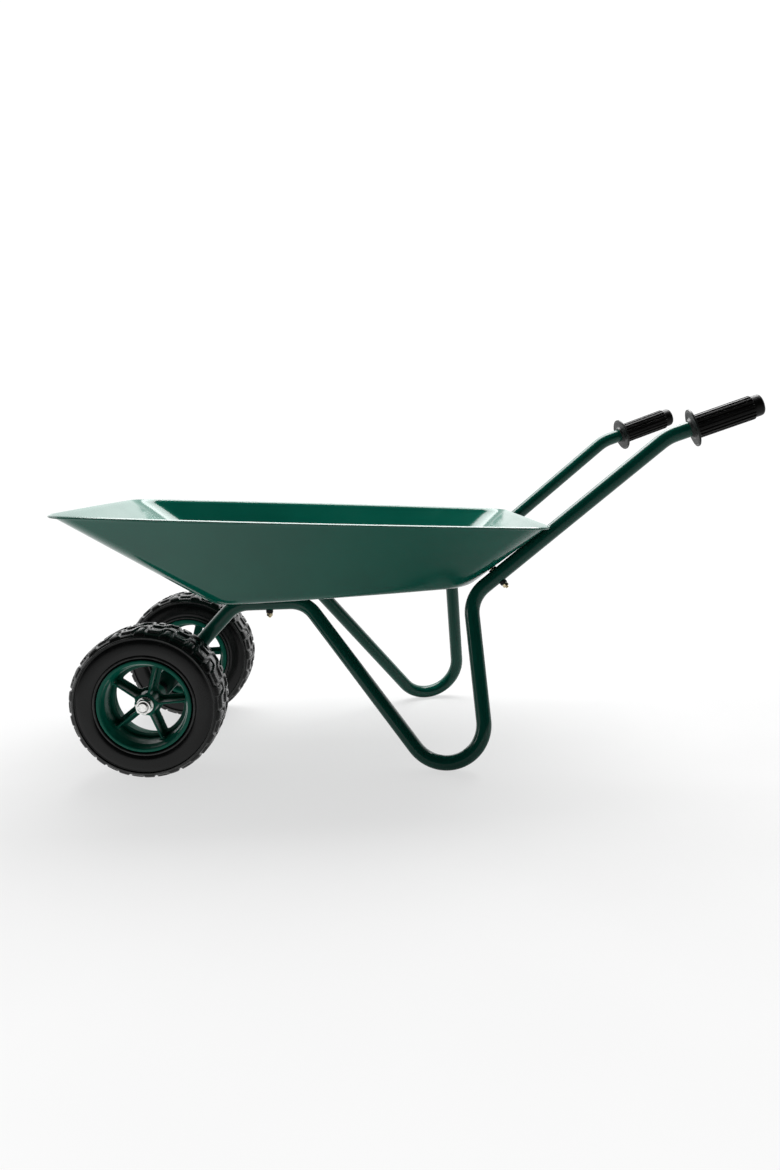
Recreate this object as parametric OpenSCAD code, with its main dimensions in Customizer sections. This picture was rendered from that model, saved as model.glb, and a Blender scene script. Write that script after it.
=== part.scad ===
// Twin-wheel garden wheelbarrow: pressed steel tray on two bent tubes, one per side.
// +Z is up, -X is the way it rolls, and the ground is Z = 0. Left is the -Y side.

/* [Wheels] */
// Outside diameter of the tyre over its tread blocks
tyre_d = 254; // [244:1:262]
// Overall width of the tyre
tyre_w = 94; // [88:1:98]
// Distance between the middles of the two wheels
track = 346; // [336:1:360]
// Position of the axle along the barrow
axle_x = -444; // [-450:1:-436]
// Diameter of the steel axle
axle_d = 16; // [12:1:18]
// Radial running clearance between the axle and the hub bushes
bush_gap = 0.05; // [0.03:0.01:0.1]
// Number of spokes in a wheel
spokes = 5; // [3:1:7]
// Number of tread blocks along each shoulder
tread_blocks = 18; // [12:1:20]
// Angle of the first spoke above the rear, about the axle
spoke_phase = 73.5; // [0:0.5:90]

/* [Frame tubes] */
// Outside diameter of the bent tube
tube_d = 25.4; // [24:0.1:27]
// Wall thickness of the bent tube
tube_wall = 1.5; // [1:0.1:2.5]
// Distance of the front fork from the middle plane
fork_y = 102; // [96:1:106]
// Height of the level run of tube under the tray
run_z = 273.3; // [270:0.1:274]
// Distance of the leg's lower corner from the middle plane
foot_y = 273; // [250:1:290]
// Radius of the two bends under the tray
run_bend = 52; // [35:1:60]
// Radius of the bend between the leg and the handle
handle_bend = 56; // [40:1:65]
// Radius of the bend below the hand grip
wrist_bend = 75; // [40:1:100]

/* [Tray] */
// Height of the rim at the front end
rim_front_z = 443; // [435:1:452]
// Height of the rim at the rear end
rim_rear_z = 399.7; // [399.5:0.1:410]
// How far the long edges bow outward at the middle
side_bow = 27; // [0:1:40]
// Sheet thickness, measured upright
sheet = 1.2; // [1:0.1:1.6]
// Radius of the rolled rim
bead_r = 2.5; // [2:0.1:2.8]

/* [Grips] */
// Length of a hand grip
grip_len = 108.2; // [100:0.1:120]
// Diameter of a hand grip over its ribs
grip_d = 39; // [37:0.5:41]
// Number of ribs round a hand grip
grip_ribs = 18; // [12:1:24]
// Diameter of the round guard in front of the hand
guard_d = 62; // [56:1:68]

/* [Hidden] */
$fn = 64;

axle_z = tyre_d / 2;
tube_r = tube_d / 2;
half_track = track / 2;
hub_in = 36;            // hub length on each side of the wheel's middle plane
hub_out = 35;
lip_y = tyre_w / 2 - 3; // outer faces of the rim lips
bush_len = 22;
bush_r = axle_d / 2 + 3.5;
bolt_r = 3;

// corner points of the bent tube's centre line, left side, from the axle to the hand
P = [[axle_x, -fork_y, axle_z], [-304, -fork_y, run_z], [-181.5, -fork_y, run_z],
     [128.5, -foot_y, -132], [100.4, -169, 282], [422, -190.5, 539.3], [555, -207, 583]];
grip_dir = unit(P[6] - P[5]);
handle_dir = unit(P[5] - P[4]);
guard_pos = P[5] + grip_dir * 41.5;
grip_tip = 3 + grip_len;

// radius of the foot bend, so that its lowest point just meets the ground
foot_u = unit(P[3] - P[2]);
foot_v = unit(P[4] - P[3]);
foot_n = unit(cross(foot_u, foot_v));
foot_m = cross(foot_n, foot_u);
foot_turn = acos(foot_u * foot_v);
foot_low = sqrt(foot_u[2] * foot_u[2] + foot_m[2] * foot_m[2]);
foot_bend = (tube_r - P[3][2]) / (foot_m[2] - foot_low - foot_u[2] * tan(foot_turn / 2));
R = [0, run_bend, run_bend, foot_bend, handle_bend, wrist_bend, 0];

// tray corner positions, before the corners are rounded
rim_x = [-561, 219.5];
rim_y = [264, 247];
base_x = [-336, 104];
base_y = [192, 174];
base_z = [284.6, 299.5];
front_bolt = [-245, -fork_y];
rear_bolt_t = 59;       // distance of the rear tray bolt up the handle from its lower corner
rear_bolt_lean = 12;    // lean of that bolt towards the middle, square to the tray's wall

function unit(v) = v / norm(v);
function turn(a, b, c) = acos(unit(b - a) * unit(c - b));
function reach(i) = (i == 0 || i == 6) ? 0 : R[i] * tan(turn(P[i - 1], P[i], P[i + 1]) / 2);
function frame_m(o, x, y, z) =
    [[x[0], y[0], z[0], o[0]], [x[1], y[1], z[1], o[1]], [x[2], y[2], z[2], o[2]], [0, 0, 0, 1]];

// children drawn along +Z are laid along direction d from point a
module along(a, d) {
    z = unit(d);
    h = abs(z[1]) < 0.9 ? [0, 1, 0] : [0, 0, 1];
    x = unit(cross(h, z));
    multmatrix(frame_m(a, x, cross(z, x), z)) children();
}

// draws the left side as it is and the right side as its mirror image
module side(right) {
    if (right) mirror([0, 1, 0]) children();
    else children();
}

// straight and bent stretches of the centre line, as solid rod of radius r; each straight
// stretch runs a little way into the bends, which are a hair thicker
module rod(r, first, last) {
    for (i = [0:5]) {
        d = unit(P[i + 1] - P[i]);
        a = P[i] + d * (i == 0 ? first : reach(i) - 1);
        b = P[i + 1] - d * (i == 5 ? last : reach(i + 1) - 1);
        along(a, d) cylinder(r = r, h = norm(b - a));
    }
    for (i = [1:5]) {
        u = unit(P[i] - P[i - 1]);
        n = unit(cross(u, unit(P[i + 1] - P[i])));
        m = cross(n, u);
        c = P[i] - u * reach(i) + m * R[i];
        multmatrix(frame_m(c, -m, u, n))
            rotate_extrude(angle = turn(P[i - 1], P[i], P[i + 1]), $fn = 96)
                translate([R[i], 0]) circle(r = r + 0.05);
    }
}

// the tube's lower end pressed flat round the axle
module fork_end() {
    d = unit(P[1] - P[0]);
    translate(P[0]) rotate([90, 0, 0]) cylinder(r = 18, h = 8, center = true);
    along(P[0], d) translate([-16.5, -3.95, 0]) cube([33, 7.9, 46]);
}

module bent_tube() {
    color([0.02, 0.22, 0.17])
    difference() {
        union() {
            rod(tube_r, 34, 0);
            fork_end();
        }
        rod(tube_r - tube_wall, 46, -1);
        translate(P[0]) rotate([90, 0, 0]) cylinder(r = axle_d / 2 + 0.05, h = 40, center = true);
        front_bolt_place() translate([0, 0, -60]) cylinder(r = bolt_r + 0.4, h = 90);
        rear_bolt_place() translate([0, 0, -60]) cylinder(r = bolt_r + 0.4, h = 90);
    }
}

// ---- tray -------------------------------------------------------------------------------
nc = 10;   // steps round a corner
nl = 18;   // steps along a long edge
ns = 8;    // steps along an end edge

function lerp(a, b, t) = a + (b - a) * t;
// unit outline: s runs rear to front, t runs right to left, corner radii in unit lengths
function unit_ring(rs, rt) = concat(
    [for (k = [0:nc - 1]) let (a = 90 * k / nc)
        [1 - rs + rs * sin(a), -1 + rt - rt * cos(a)]],
    [for (k = [0:ns - 1]) [1, lerp(-1 + rt, 1 - rt, k / ns)]],
    [for (k = [0:nc - 1]) let (a = 90 * k / nc)
        [1 - rs + rs * cos(a), 1 - rt + rt * sin(a)]],
    [for (k = [0:nl - 1]) [lerp(1 - rs, -1 + rs, k / nl), 1]],
    [for (k = [0:nc - 1]) let (a = 90 * k / nc)
        [-1 + rs - rs * sin(a), 1 - rt + rt * cos(a)]],
    [for (k = [0:ns - 1]) [-1, lerp(1 - rt, -1 + rt, k / ns)]],
    [for (k = [0:nc - 1]) let (a = 90 * k / nc)
        [-1 + rs - rs * cos(a), -1 + rt - rt * sin(a)]],
    [for (k = [0:nl - 1]) [lerp(-1 + rs, 1 - rs, k / nl), -1]]);
// outline in millimetres, inset by d: xs and ys hold the front and rear values
function ring(xs, ys, bow, ebow, r, d) =
    let (x0 = xs[0] + d, x1 = xs[1] - d, l = (x1 - x0) / 2, w = (ys[0] + ys[1]) / 2 - d)
    [for (p = unit_ring(r / l, r / w))
        [lerp(x0, x1, (p[0] + 1) / 2) - (p[0] < 0 ? ebow : 0) * (1 - p[1] * p[1]) * pow(p[0], 8),
         p[1] * (lerp(ys[0], ys[1], (p[0] + 1) / 2) - d + bow * (1 - p[0] * p[0]))]];
function base_h(x) = lerp(base_z[0], base_z[1], (x - base_x[0]) / (base_x[1] - base_x[0]));
function rim_h(x) = lerp(rim_front_z, rim_rear_z, (x - rim_x[0]) / (rim_x[1] - rim_x[0]));

ring_in = ring(base_x, base_y, 12, 0, 40, 10);
ring_base = ring(base_x, base_y, 13, 0, 47, 0);
ring_rim = ring(rim_x, rim_y, side_bow, 3, 40, 0);
np = len(ring_rim);
function base_p(q) = [q[0], q[1], base_h(q[0])];
function rim_p(q) = [q[0], q[1], rim_h(q[0])];
function wall_p(i, w) = lerp(base_p(ring_base[i]), rim_p(ring_rim[i]), w);
function knee(i, t) =
    let (a = base_p(ring_in[i]), b = base_p(ring_base[i]), c = wall_p(i, 0.08))
    a * (1 - t) * (1 - t) + b * 2 * t * (1 - t) + c * t * t;
// outward direction of the rim at point i, in plan
function out_dir(i) =
    let (a = ring_rim[(i + np - 1) % np], b = ring_rim[(i + 1) % np], t = unit(b - a))
    [t[1], -t[0], 0];
// sheet section, from the middle of the underside up, round the rolled rim, and back down
function skin(i, up) = concat(
    [for (t = [0:0.2:1]) knee(i, t) + [0, 0, up]],
    [for (w = [0.4, 0.7, 0.93]) wall_p(i, w) + [0, 0, up]]);
function roll(i) =
    [for (a = [200:27:443]) rim_p(ring_rim[i]) + out_dir(i) * (bead_r * (1 + cos(a)) + 1.5)
        + [0, 0, bead_r * sin(a) + 1]];
function back(list) = [for (k = [len(list) - 1:-1:0]) list[k]];

module tray() {
    rows = [for (i = [0:np - 1]) concat(skin(i, 0), roll(i), back(skin(i, sheet)))];
    nr = len(rows[0]);
    pts = [for (i = [0:np - 1]) for (k = [0:nr - 1]) rows[i][k]];
    faces = concat(
        [for (i = [0:np - 1]) for (k = [0:nr - 2]) for (h = [0, 1])
            let (j = (i + 1) % np, a = i * nr + k, b = j * nr + k)
            h == 0 ? [a, a + 1, b + 1] : [a, b + 1, b]],
        [[for (i = [0:np - 1]) i * nr]],
        [[for (i = [np - 1:-1:0]) i * nr + nr - 1]]);
    color([0.02, 0.25, 0.19])
    difference() {
        polyhedron(points = pts, faces = faces, convexity = 6);
        for (s = [false, true]) side(s) {
            front_bolt_place() translate([0, 0, -8]) cylinder(r = bolt_r + 0.3, h = 40);
            rear_bolt_place() translate([0, 0, -8]) cylinder(r = bolt_r + 0.3, h = 40);
        }
    }
}

// ---- fasteners between the tray and the tubes ---------------------------------------------
// local origin on top of the tube, +Z into the tray
module front_bolt_place() {
    translate([front_bolt[0], front_bolt[1], run_z + tube_r]) children();
}
module rear_bolt_place() {
    c = P[4] + handle_dir * rear_bolt_t;
    x = handle_dir;
    z = unit([-x[2], 0, x[0]] - x * ([-x[2], 0, x[0]] * x));
    multmatrix(frame_m(c, x, cross(z, x), z))
        rotate([-rear_bolt_lean, 0, 0]) translate([0, 0, tube_r]) children();
}

// domed bolt whose head rests at height z above the tube
module coach_bolt(z) {
    color([0.62, 0.62, 0.6])
    translate([0, 0, z]) {
        rotate_extrude() polygon([[0, 0], [7.5, 0], [7.3, 0.8], [6.2, 1.9], [3.9, 2.9], [0, 3.3]]);
        translate([0, 0, -z - tube_d - 13.5]) cylinder(r = bolt_r, h = z + tube_d + 14);
    }
}
// round pad that fills the gap between the tube and the tray
module pad(r, h) {
    color([0.06, 0.06, 0.06])
    difference() {
        cylinder(r = r, h = h);
        translate([0, 0, -1]) cylinder(r = bolt_r + 0.3, h = h + 2);
    }
}
// black collar hollowed to sit on the underside of the round tube
module collar() {
    color([0.1, 0.1, 0.1])
    difference() {
        translate([0, 0, -tube_d - 5]) cylinder(r = 6.2, h = 6.5);
        translate([-10, 0, -tube_r]) rotate([0, 90, 0]) cylinder(r = tube_r + 0.08, h = 20);
        translate([0, 0, -tube_d - 6]) cylinder(r = bolt_r + 0.2, h = 8);
    }
}
module hex_nut() {
    color([0.7, 0.68, 0.62])
    translate([0, 0, -tube_d - 10.4]) difference() {
        cylinder(r = 5.77, h = 5.2, $fn = 6);
        translate([0, 0, -1]) cylinder(r = bolt_r + 0.02, h = 8);
    }
}
front_gap = base_h(front_bolt[0]) + sheet - run_z - tube_r;
rear_gap = 2.2;         // room between the tube and the tray's underside round the rear bolt

module tray_bolts_front() {
    for (s = [false, true]) side(s) front_bolt_place() coach_bolt(front_gap + 0.3);
}
module tray_bolts_rear() {
    for (s = [false, true]) side(s) rear_bolt_place() coach_bolt(rear_gap + 2.05);
}
module tray_spacers() {
    for (s = [false, true]) side(s) {
        front_bolt_place() pad(8, front_gap - sheet - 0.35);
        rear_bolt_place() pad(7, rear_gap - 0.1);
    }
}
module bolt_collars() {
    for (s = [false, true]) side(s) {
        front_bolt_place() collar();
        rear_bolt_place() collar();
    }
}
module bolt_nuts() {
    for (s = [false, true]) side(s) {
        front_bolt_place() hex_nut();
        rear_bolt_place() hex_nut();
    }
}

// ---- axle -----------------------------------------------------------------------------------
// children drawn along +Z are laid along the axle, with Z = 0 at the barrow's middle plane
// and +Z towards the left wheel
module on_axle() {
    translate([axle_x, 0, axle_z]) rotate([90, 0, 0]) children();
}
module sleeve(r_out, r_in, z0, z1) {
    translate([0, 0, z0]) difference() {
        cylinder(r = r_out, h = z1 - z0);
        translate([0, 0, -1]) cylinder(r = r_in, h = z1 - z0 + 2);
    }
}
hub_a = half_track - hub_in;   // inner end of the hub
hub_b = half_track + hub_out;  // outer end of the hub
nut_z = hub_b + 3.4;

module axle() {
    l = nut_z + 16;
    color([0.7, 0.7, 0.68])
    on_axle() {
        translate([0, 0, -l + 2]) cylinder(r = axle_d / 2, h = 2 * l - 4);
        translate([0, 0, l - 2]) cylinder(r1 = axle_d / 2, r2 = axle_d / 2 - 2, h = 2);
        translate([0, 0, -l]) cylinder(r2 = axle_d / 2, r1 = axle_d / 2 - 2, h = 2);
    }
}
module axle_sleeve() {
    color([0.02, 0.22, 0.17])
    on_axle() sleeve(axle_d / 2 + 3, axle_d / 2 + 0.1, -fork_y + 4.05, fork_y - 4.05);
}
module axle_spacer(right) {
    color([0.1, 0.1, 0.1])
    side(right) on_axle() sleeve(axle_d / 2 + 4, axle_d / 2 + 0.1, fork_y + 4.05, hub_a - 2.8);
}
module axle_washers() {
    color([0.7, 0.7, 0.68])
    for (s = [false, true]) side(s) on_axle() {
        sleeve(15, axle_d / 2 + 0.1, hub_a - 2.7, hub_a - 0.4);
        sleeve(14, axle_d / 2 + 0.1, hub_b + 0.4, nut_z - 0.1);
    }
}
module axle_nuts() {
    color([0.75, 0.75, 0.73])
    for (s = [false, true]) side(s) on_axle() translate([0, 0, nut_z]) difference() {
        cylinder(r = 13.6, h = 12, $fn = 6);
        translate([0, 0, -1]) cylinder(r = axle_d / 2 + 0.02, h = 14);
    }
}

// ---- wheels ---------------------------------------------------------------------------------
// wheel frame: the axle is Z, Z = 0 is the wheel's middle plane, +Z is its outer face
module wheel_place(right) {
    side(right) translate([axle_x, -half_track, axle_z]) rotate([90, 0, 0]) children();
}
barrel_in = 65;
barrel_out = 68.5;

module wheel_rim(right) {
    color([0.02, 0.27, 0.2])
    wheel_place(right) difference() {
        union() {
            rotate_extrude($fn = 128) polygon([[barrel_in, -lip_y], [77, -lip_y],
                [78.5, -lip_y + 2], [77, -lip_y + 4], [barrel_out, -lip_y + 7],
                [barrel_out, lip_y - 7], [74, lip_y - 4], [74, lip_y], [77.5, lip_y + 1.5],
                [77.5, lip_y + 3], [72, lip_y + 3], [70.5, lip_y], [barrel_in, lip_y - 10]]);
            difference() {
                translate([0, 0, 3]) cylinder(r = barrel_in + 1, h = 4);
                for (k = [0:spokes - 1]) rotate(spoke_phase + 180 / spokes + 360 * k / spokes) window();
            }
            cylinder(r = 18.5, h = hub_out);
            translate([0, 0, -hub_in]) cylinder(r = 18.5, h = hub_in);
            for (k = [0:spokes - 1]) rotate(spoke_phase + 360 * k / spokes) spoke();
        }
        translate([0, 0, -hub_in - 1]) cylinder(r = bush_r, h = hub_in + hub_out + 2);
    }
}
// fan-shaped opening between two spokes
module window() {
    half = 180 / spokes;
    translate([0, 0, 2]) linear_extrude(6) intersection() {
        difference() {
            circle(r = 56, $fn = 96);
            circle(r = 24);
        }
        polygon([[8.5 / sin(half), 0], [90, (90 - 8.5 / sin(half)) * tan(half)],
                 [90, -(90 - 8.5 / sin(half)) * tan(half)]]);
    }
}
module spoke() {
    rotate([90, 0, 0]) translate([0, 0, -2]) linear_extrude(4)
        polygon([[12, -20], [12, hub_out - 2], [24, hub_out - 3], [barrel_in + 1, lip_y - 16],
                 [barrel_in + 1, 0], [40, -6]]);
}

module tyre(right) {
    color([0.03, 0.03, 0.03])
    wheel_place(right) {
        h = tyre_w / 2;
        ro = tyre_d / 2;
        rotate_extrude($fn = 128) polygon([[barrel_out + 0.1, -lip_y + 7.5], [77.4, -lip_y + 4.3],
            [80, -lip_y], [82, -h], [109, -h], [116, -h + 4], [119, -h + 12], [120.5, -h + 26],
            [120.5, h - 26], [119, h - 12], [116, h - 4], [109, h], [83, h], [79, h - 3],
            [78, lip_y - 3.5], [74.3, lip_y - 4.2], [barrel_out + 0.1, lip_y - 7.5],
            [barrel_out + 0.1, lip_y - 15], [80, lip_y - 12], [86, h - 7], [107, h - 7],
            [112, h - 14], [113.5, h - 26], [113.5, -h + 26], [112, -h + 14], [107, -h + 7],
            [86, -h + 7], [80, -lip_y + 12], [barrel_out + 0.1, -lip_y + 15]]);
        for (k = [0:tread_blocks - 1]) {
            rotate(360 * k / tread_blocks - 90) block(1);
            rotate(360 * (k + 0.5) / tread_blocks - 90) block(-1);
        }
    }
}
// one tread block, from the middle of the tread over one shoulder
module block(s) {
    h = tyre_w / 2;
    ro = tyre_d / 2;
    w = 22;
    ra = ro - 0.1;
    rotate([90, 0, 0]) translate([0, 0, -w / 2]) linear_extrude(w)
        polygon([[116, 3 * s], [ra, -5 * s], [ra, (h - 13) * s], [ra - 4, (h - 5) * s],
                 [115, (h - 0.5) * s], [108, (h - 0.5) * s]]);
}
module hub_bush(right, outer) {
    color([0.12, 0.12, 0.12])
    wheel_place(right) translate([0, 0, outer ? hub_out - bush_len : -hub_in])
        sleeve(bush_r, axle_d / 2 + bush_gap, 0, bush_len);
}

// ---- hands ----------------------------------------------------------------------------------
module grip(right) {
    color([0.04, 0.04, 0.04])
    side(right) along(guard_pos, grip_dir) difference() {
        union() {
            translate([0, 0, 2.1]) linear_extrude(grip_len - 15) polygon(
                [for (k = [0:2 * grip_ribs - 1]) for (e = [-1, 1])
                    let (a = 180 * k / grip_ribs + e * 60 / grip_ribs,
                         r = k % 2 == 0 ? grip_d / 2 : grip_d / 2 - 2.1)
                    [r * cos(a), r * sin(a)]]);
            rotate_extrude() polygon([[0, 2.1], [grip_d / 2 - 2.2, 2.1], [grip_d / 2 - 2.2, grip_tip - 5],
                [grip_d / 2 - 3.4, grip_tip - 1.8], [grip_d / 2 - 6.5, grip_tip], [0, grip_tip]]);
        }
        translate([0, 0, -1]) cylinder(r = tube_r + 0.05, h = norm(P[6] - guard_pos) + 1.1);
    }
}
module hand_guard(right) {
    color([0.13, 0.13, 0.13])
    side(right) along(guard_pos, grip_dir) difference() {
        union() {
            translate([0, 0, -1.5]) cylinder(r = guard_d / 2, h = 3.5);
            translate([0, 0, -6]) cylinder(r1 = tube_r + 2, r2 = tube_r + 4, h = 4.6);
        }
        translate([0, 0, -7]) cylinder(r = tube_r + 0.05, h = 10);
    }
}

tray();
bent_tube();  // frame_tube_left
side(true) bent_tube();  // frame_tube_right
axle();
axle_sleeve();
axle_spacer(false);  // axle_spacer_left
axle_spacer(true);  // axle_spacer_right
axle_washers();
axle_nuts();
wheel_rim(false);  // wheel_rim_left
wheel_rim(true);  // wheel_rim_right
tyre(false);  // tyre_left
tyre(true);  // tyre_right
hub_bush(false, false);  // hub_bush_inner_left
hub_bush(false, true);  // hub_bush_outer_left
hub_bush(true, false);  // hub_bush_inner_right
hub_bush(true, true);  // hub_bush_outer_right
grip(false);  // grip_left
grip(true);  // grip_right
hand_guard(false);  // hand_guard_left
hand_guard(true);  // hand_guard_right
tray_bolts_front();
tray_bolts_rear();
tray_spacers();
bolt_collars();
bolt_nuts();
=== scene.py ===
"""Garden wheelbarrow with two wheels: the visible model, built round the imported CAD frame."""
import math

import bmesh
import bpy
import numpy as np
from mathutils import Matrix, Vector


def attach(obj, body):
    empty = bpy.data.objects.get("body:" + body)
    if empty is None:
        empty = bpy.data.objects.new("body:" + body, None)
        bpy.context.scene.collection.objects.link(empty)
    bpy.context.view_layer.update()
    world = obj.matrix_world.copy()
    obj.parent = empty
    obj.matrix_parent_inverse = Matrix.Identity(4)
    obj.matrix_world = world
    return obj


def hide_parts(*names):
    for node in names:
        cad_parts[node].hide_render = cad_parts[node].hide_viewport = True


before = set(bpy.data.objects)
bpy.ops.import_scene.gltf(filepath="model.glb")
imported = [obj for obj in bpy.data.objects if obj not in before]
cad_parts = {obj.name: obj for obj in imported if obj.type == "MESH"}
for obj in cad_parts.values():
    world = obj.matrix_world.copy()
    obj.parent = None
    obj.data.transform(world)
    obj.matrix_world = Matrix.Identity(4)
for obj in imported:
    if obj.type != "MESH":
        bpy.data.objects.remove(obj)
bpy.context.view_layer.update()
MM = 0.001
TAU = 2 * math.pi

# ---- sizes shared with the CAD, in millimetres -------------------------------------------------
AXLE_X, AXLE_Z, AXLE_R = -444.0, 127.0, 8.0
HALF_TRACK = 173.0                      # middle plane of the barrow to that of a wheel
HUB_IN, HUB_OUT = 36.0, 35.0            # reach of the hub from the wheel's middle plane
NUT_Y, NUT_H = HALF_TRACK + HUB_OUT + 3.4, 12.0     # inner face and height of the axle nut
SPOKES, SPOKE_PHASE = 5, 73.5           # the phase in degrees
TREAD_BLOCKS = 18                       # repeats of the tread round the tyre
TUBE_R = 12.7
TUBE_D = 2 * TUBE_R
RUN_Y, RUN_Z = 102, 273.3               # the level run of the tube under the tray
# corners of the left tube's centre line, from the axle to the hand
PATH = np.array([[AXLE_X, -RUN_Y, AXLE_Z], [-304, -RUN_Y, RUN_Z], [-181.5, -RUN_Y, RUN_Z],
                 [128.5, -273, -132], [100.4, -169, 282], [422, -190.5, 539.3], [555, -207, 583]], float)
SHEET = 1.2                             # thickness of the tray, measured upright
HALF_WIDTH = 289.6                      # half the tray's width over the roll of its rim
BOLT_R = 3.0
FRONT_BOLT_X = -245
REAR_BOLT_UP, REAR_BOLT_LEAN = 59, 12   # distance up the handle from its lower corner; degrees
REAR_GAP = 2.2                          # room between the tube and the tray at the rear bolts
GRIP_LEN, GRIP_R, GRIP_RIBS = 108.2, 19.5, 18
RIB_DEPTH = 2.2
GUARD_R, GUARD_UP = 31.0, 41.5          # radius, and distance up the grip's line from its bend


def unit(v):
    v = np.asarray(v, float)
    return v / np.linalg.norm(v)


def lerp(a, b, t):
    return a + (b - a) * t


def smooth(x):
    x = np.clip(x, 0, 1)
    return x * x * (3 - 2 * x)


# ---- the bent tube's centre line -----------------------------------------------------------------
def foot_bend():
    """Radius of the bend at the foot for which the tube just touches the ground."""
    u, v = unit(PATH[3] - PATH[2]), unit(PATH[4] - PATH[3])
    n = unit(np.cross(u, v))
    m = np.cross(n, u)
    turn = math.acos(float(u @ v))
    low = math.hypot(u[2], m[2])
    return (TUBE_R - PATH[3][2]) / (m[2] - low - u[2] * math.tan(turn / 2))


BENDS = [0, 52, 52, foot_bend(), 56, 75, 0]     # radius of the tube's bend at each corner of PATH
GRIP_DIR = unit(PATH[6] - PATH[5])
HANDLE_DIR = unit(PATH[5] - PATH[4])
GUARD_POS = PATH[5] + GRIP_DIR * GUARD_UP


def centre_line(step=4.0):
    """Points along the tube from the axle to the hand, closer together in the bends."""
    pts = []
    start = PATH[0]
    for i in range(1, 6):
        u, v = unit(PATH[i] - PATH[i - 1]), unit(PATH[i + 1] - PATH[i])
        turn = math.acos(float(u @ v))
        reach = BENDS[i] * math.tan(turn / 2)
        n = unit(np.cross(u, v))
        m = np.cross(n, u)
        c = PATH[i] - u * reach + m * BENDS[i]
        end = PATH[i] - u * reach
        k = max(2, int(np.linalg.norm(end - start) / (step * 3)))
        pts += [lerp(start, end, t) for t in np.linspace(0, 1, k, endpoint=False)]
        k = max(8, int(BENDS[i] * turn / step))
        pts += [c + BENDS[i] * (u * math.sin(a) - m * math.cos(a))
                for a in np.linspace(0, turn, k, endpoint=False)]
        start = PATH[i] + v * reach
    k = int(np.linalg.norm(PATH[6] - start) / (step * 3))
    pts += [lerp(start, PATH[6], t) for t in np.linspace(0, 1, k)]
    return np.array(pts)


# ---- mesh building ---------------------------------------------------------------------------------
def grid(pts, wrap_u, wrap_v):
    """Quads over an array of points [u, v, xyz]."""
    nu, nv = pts.shape[:2]
    iu = np.arange(nu if wrap_u else nu - 1)[:, None]
    iv = np.arange(nv if wrap_v else nv - 1)[None, :]
    ju, jv = (iu + 1) % nu, (iv + 1) % nv
    quads = np.stack([iu * nv + iv, ju * nv + iv, ju * nv + jv, iu * nv + jv], -1)
    return pts.reshape(-1, 3), quads.reshape(-1, 4).tolist()


def fillet(pts, radii, seg, closed=True):
    """Rounds the corners of a flat polygon; radii is one radius, or a list of one a corner."""
    out, n = [], len(pts)
    pts = [np.array(p, float) for p in pts]
    for i, p in enumerate(pts):
        r = radii[i] if hasattr(radii, "__len__") else radii
        if r <= 0 or (not closed and i in (0, n - 1)):
            out.append(p)
            continue
        a, b = pts[i - 1] - p, pts[(i + 1) % n] - p
        la, lb = np.linalg.norm(a), np.linalg.norm(b)
        a, b = a / la, b / lb
        cut = min(r / math.tan(math.acos(np.clip(a @ b, -1, 1)) / 2), la * 0.49, lb * 0.49)
        for t in np.linspace(0, 1, seg + 1):
            q0, q1 = p + a * cut * (1 - t), p + b * cut * t
            out.append(lerp(q0, q1, t))
    return np.array(out)


def lathe(profile, n, wrap=True):
    """Turns a profile of (radius, z) round the Z axis."""
    profile = np.asarray(profile, float)
    a = np.arange(n) * TAU / n
    pts = np.stack([np.outer(np.cos(a), profile[:, 0]), np.outer(np.sin(a), profile[:, 0]),
                    np.tile(profile[:, 1], (n, 1))], -1)
    return grid(pts, True, wrap)


def thread(r, z0, z1, pitch, depth, n):
    """A screw thread as one helical surface, with a chamfered end at z1."""
    a = np.arange(n) * TAU / n
    z = np.linspace(z0, z1, int((z1 - z0) / pitch * 8))
    tooth = np.abs(((z[None, :] / pitch - a[:, None] / TAU) % 1.0) * 2 - 1)
    rad = r - depth * smooth(tooth * 1.3 - 0.15)
    rad = np.minimum(rad, r - np.clip(z[None, :] - (z1 - 1.2), 0, 2) * 0.9)
    pts = np.stack([np.cos(a)[:, None] * rad, np.sin(a)[:, None] * rad, np.tile(z, (n, 1))], -1)
    end = np.zeros((n, 1, 3))
    end[:, 0, 2] = z1
    start = np.zeros((n, 1, 3))
    start[:, 0, 2] = z0
    return grid(np.concatenate([start, pts, end], 1), True, False)


def hexagon(flats, height, bore, z0, n=120, phase=0.0):
    """A nut: six flats, both ends chamfered at 30 degrees, and a countersunk bore."""
    a = np.arange(n) * TAU / n
    half = flats / 2
    rim = half / np.cos((a + TAU / 12) % (TAU / 6) - TAU / 12)
    rim = np.minimum(rim, half * 1.145)
    drop = np.clip(rim - half * 0.97, 0, None) * math.tan(math.radians(30))
    # (radius, height) of each row: up the bore from its middle, over the top, down the flats, and back
    rows = [(bore, height * 0.5), (bore, height - 0.09 * half), (bore * 1.09, height - 0.01 * half),
            (bore * 1.13, height), (half * 0.93, height), (half * 0.965, height - 0.006 * half),
            (rim * 0.994, height - drop), (rim, height - drop - 0.02 * half),
            (rim, drop + 0.02 * half), (rim * 0.994, drop),
            (half * 0.965, 0.006 * half), (half * 0.93, 0.0), (bore * 1.13, 0.0), (bore, 0.09 * half)]
    pts = [np.stack([np.cos(a + phase) * r, np.sin(a + phase) * r, np.full(n, z0) + z], -1) for r, z in rows]
    return grid(np.stack(pts, 1), True, True)


def place(part, matrix, origin):
    """Moves a part by a 3x3 matrix and an origin."""
    v, f = part
    return np.asarray(v) @ np.asarray(matrix).T + np.asarray(origin), f


def sided(part, right):
    """Parts are drawn for the left side, and mirrored for the right one."""
    if not right:
        return part
    v, f = part
    return np.asarray(v) * [1, -1, 1], [q[::-1] for q in f]


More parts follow.
